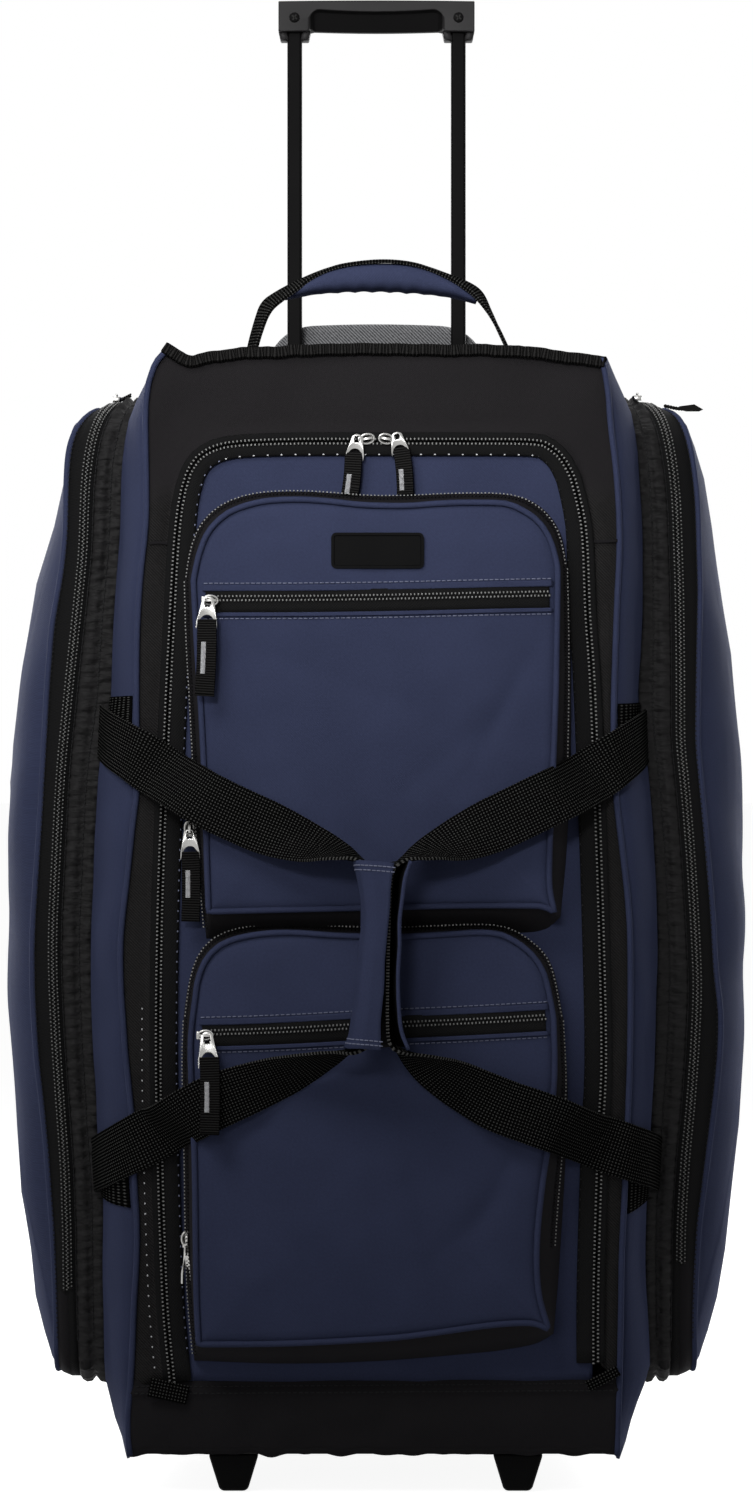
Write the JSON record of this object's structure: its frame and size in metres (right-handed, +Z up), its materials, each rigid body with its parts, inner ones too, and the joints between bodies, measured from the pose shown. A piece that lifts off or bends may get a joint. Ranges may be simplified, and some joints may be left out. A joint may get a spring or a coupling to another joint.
{
  "type": "rolling equipment bag",
  "caption": "Upright rolling duffel bag in navy and black polyester with zipped pockets, carry straps with a wrap grip, a telescopic trolley handle and wheels.",
  "frame": {"origin": "middle of the bag's footprint, on the plane that the feet and wheels stand on", "axes": "+Z up, -Y towards the front with the pockets, +X to the right of someone facing the front"},
  "size_m": [0.5134, 0.389, 1.0694],
  "materials": {
    "navy_cloth": "satin woven polyester",
    "black_cloth": "matt woven polyester",
    "black_webbing": "ribbed webbing",
    "grey_cloth": "heather woven polyester",
    "zip_tape": "woven tape with a coil zip",
    "nickel": "bright nickel plate",
    "black_plastic": "fine moulded texture",
    "black_tube": "satin black coat",
    "board": "plain sheet",
    "rubber_patch": "moulded, bare",
    "steel": "zinc plated",
    "wheel_rubber": "moulded tread"
  },
  "bodies": {
    "bag": {"front_frame": "black_cloth", "side_gusset_left": "navy_cloth", "side_gusset_right": "navy_cloth", "top_panel": "navy_cloth", "top_binding": "black_webbing", "base_panel": "black_cloth", "base_board": "board", "back_cover": "black_cloth", "back_board": "board", "front_foot_left": "black_plastic", "front_foot_right": "black_plastic", "zip_tape_frame": "zip_tape", "side_band_left": "black_cloth", "side_band_right": "black_cloth", "outer_tube_left": "black_tube", "outer_tube_right": "black_tube", "trolley_guide": "black_plastic", "trolley_bracket": "black_plastic", "rear_cap": "grey_cloth", "wheel_axle_left": "steel", "wheel_axle_right": "steel", "wheel_housing_left": "black_plastic", "wheel_housing_right": "black_plastic"},
    "flap": {"main_flap": "navy_cloth", "zip_tape_flap": "zip_tape", "upper_pocket": "navy_cloth", "upper_pocket_zip": "zip_tape", "blank_patch": "rubber_patch", "lower_pocket": "navy_cloth", "lower_pocket_zip": "zip_tape"},
    "strap_left": {"carry_strap_left": "black_webbing", "strap_wrap": "navy_cloth"},
    "strap_right": {"carry_strap_right": "black_webbing"},
    "side_pocket_lid_left": {"side_lid_left": "navy_cloth"},
    "side_pocket_lid_right": {"side_lid_right": "navy_cloth"},
    "grab_handle": {"grab_webbing": "black_webbing", "grab_pad": "navy_cloth"},
    "trolley": {"inner_tube_left": "black_tube", "inner_tube_right": "black_tube", "trolley_grip": "black_plastic", "grip_screw_left": "steel", "grip_screw_right": "steel"},
    "left_wheel": {"wheel_left": "wheel_rubber"},
    "right_wheel": {"wheel_right": "wheel_rubber"},
    "upper_slider": {"upper_pocket_slider": "nickel"},
    "upper_pull": {"upper_pocket_pull": "nickel", "upper_pocket_pull_tape": "black_webbing"},
    "lower_slider": {"lower_pocket_slider": "nickel"},
    "lower_pull": {"lower_pocket_pull": "nickel", "lower_pocket_pull_tape": "black_webbing"},
    "main_left_slider": {"main_zip_left_slider": "nickel"},
    "main_left_pull": {"main_zip_left_pull": "nickel", "main_zip_left_pull_tape": "black_webbing"},
    "main_right_slider": {"main_zip_right_slider": "nickel"},
    "main_right_pull": {"main_zip_right_pull": "nickel", "main_zip_right_pull_tape": "black_webbing"},
    "upper_gusset": {"upper_gusset_slider": "nickel"},
    "lower_gusset": {"lower_gusset_slider": "nickel"},
    "side_slider_body_left": {"side_slider_left": "nickel"},
    "side_slider_body_right": {"side_slider_right": "nickel"}
  },
  "joints": [
    {"name": "flap_fold", "type": "hinge", "parent": "bag", "child": "flap", "pos_m": [0, -0.09785, 0.0784], "axis": [1, 0, 0], "range_deg": [0, 90], "deforming": ["carry_strap_left", "carry_strap_right", "strap_wrap"]},
    {"name": "strap_left_swing", "type": "hinge", "parent": "bag", "child": "strap_left", "pos_m": [-0.18007, -0.04524, 0.3745], "axis": [0, 0, -1], "range_deg": [0, 115]},
    {"name": "strap_right_swing", "type": "hinge", "parent": "bag", "child": "strap_right", "pos_m": [0.18007, -0.04524, 0.3745], "axis": [0, 0, 1], "range_deg": [0, 115]},
    {"name": "left_lid_fold", "type": "hinge", "parent": "bag", "child": "side_pocket_lid_left", "pos_m": [-0.22, 0.05595, 0.0804], "axis": [0, -1, 0], "range_deg": [0, 85]},
    {"name": "right_lid_fold", "type": "hinge", "parent": "bag", "child": "side_pocket_lid_right", "pos_m": [0.22, 0.05595, 0.0804], "axis": [0, 1, 0], "range_deg": [0, 85]},
    {"name": "grab_fold", "type": "hinge", "parent": "bag", "child": "grab_handle", "pos_m": [0, -0.06985, 0.7878], "axis": [1, 0, 0], "range_deg": [-60, 60], "deforming": ["grab_webbing"]},
    {"name": "trolley_slide", "type": "slide", "parent": "bag", "child": "trolley", "axis": [0, 0, 1], "range_m": [-0.235, 0]},
    {"name": "left_wheel_spin", "type": "hinge", "parent": "bag", "child": "left_wheel", "pos_m": [-0.135, 0.16015, 0.034], "axis": [1, 0, 0], "continuous": true},
    {"name": "right_wheel_spin", "type": "hinge", "parent": "bag", "child": "right_wheel", "pos_m": [0.135, 0.16015, 0.034], "axis": [1, 0, 0], "continuous": true},
    {"name": "upper_zip_run", "type": "slide", "parent": "flap", "child": "upper_slider", "axis": [1, 0, 0], "range_m": [0, 0.216]},
    {"name": "upper_pull_swing", "type": "hinge", "parent": "upper_slider", "child": "upper_pull", "pos_m": [-0.108, -0.14515, 0.6144], "axis": [-1, 0, 0], "range_deg": [0, 150]},
    {"name": "lower_zip_run", "type": "slide", "parent": "flap", "child": "lower_slider", "axis": [0.9991, 0, 0.0419], "range_m": [0, 0.216]},
    {"name": "lower_pull_swing", "type": "hinge", "parent": "lower_slider", "child": "lower_pull", "pos_m": [-0.108, -0.14515, 0.31587], "axis": [-1, 0, 0], "range_deg": [0, 150]},
    {"name": "main_left_zip_run", "type": "slide", "parent": "flap", "child": "main_left_slider", "axis": [-1, 0, 0], "range_m": [0, 0.083]},
    {"name": "main_left_pull_swing", "type": "hinge", "parent": "main_left_slider", "child": "main_left_pull", "pos_m": [-0.0105, -0.10665, 0.7224], "axis": [-1, 0, 0], "range_deg": [0, 150]},
    {"name": "main_right_zip_run", "type": "slide", "parent": "flap", "child": "main_right_slider", "axis": [1, 0, 0], "range_m": [0, 0.083]},
    {"name": "main_right_pull_swing", "type": "hinge", "parent": "main_right_slider", "child": "main_right_pull", "pos_m": [0.0105, -0.10665, 0.7224], "axis": [-1, 0, 0], "range_deg": [0, 150]},
    {"name": "upper_gusset_run", "type": "slide", "parent": "flap", "child": "upper_gusset", "axis": [0, 0, 1], "range_m": [0, 0.19]},
    {"name": "lower_gusset_run", "type": "slide", "parent": "flap", "child": "lower_gusset", "axis": [0, 0, 1], "range_m": [0, 0.165]},
    {"name": "left_side_zip_run", "type": "slide", "parent": "bag", "child": "side_slider_body_left", "axis": [0, 1, 0], "range_m": [0, 0.07]},
    {"name": "right_side_zip_run", "type": "slide", "parent": "bag", "child": "side_slider_body_right", "axis": [0, 1, 0], "range_m": [0, 0.07]}
  ],
  "couplings": [
    {"joint": "strap_left_swing", "follows": "flap_fold", "ratio": 1.25},
    {"joint": "strap_right_swing", "follows": "flap_fold", "ratio": 1.25}
  ]
}
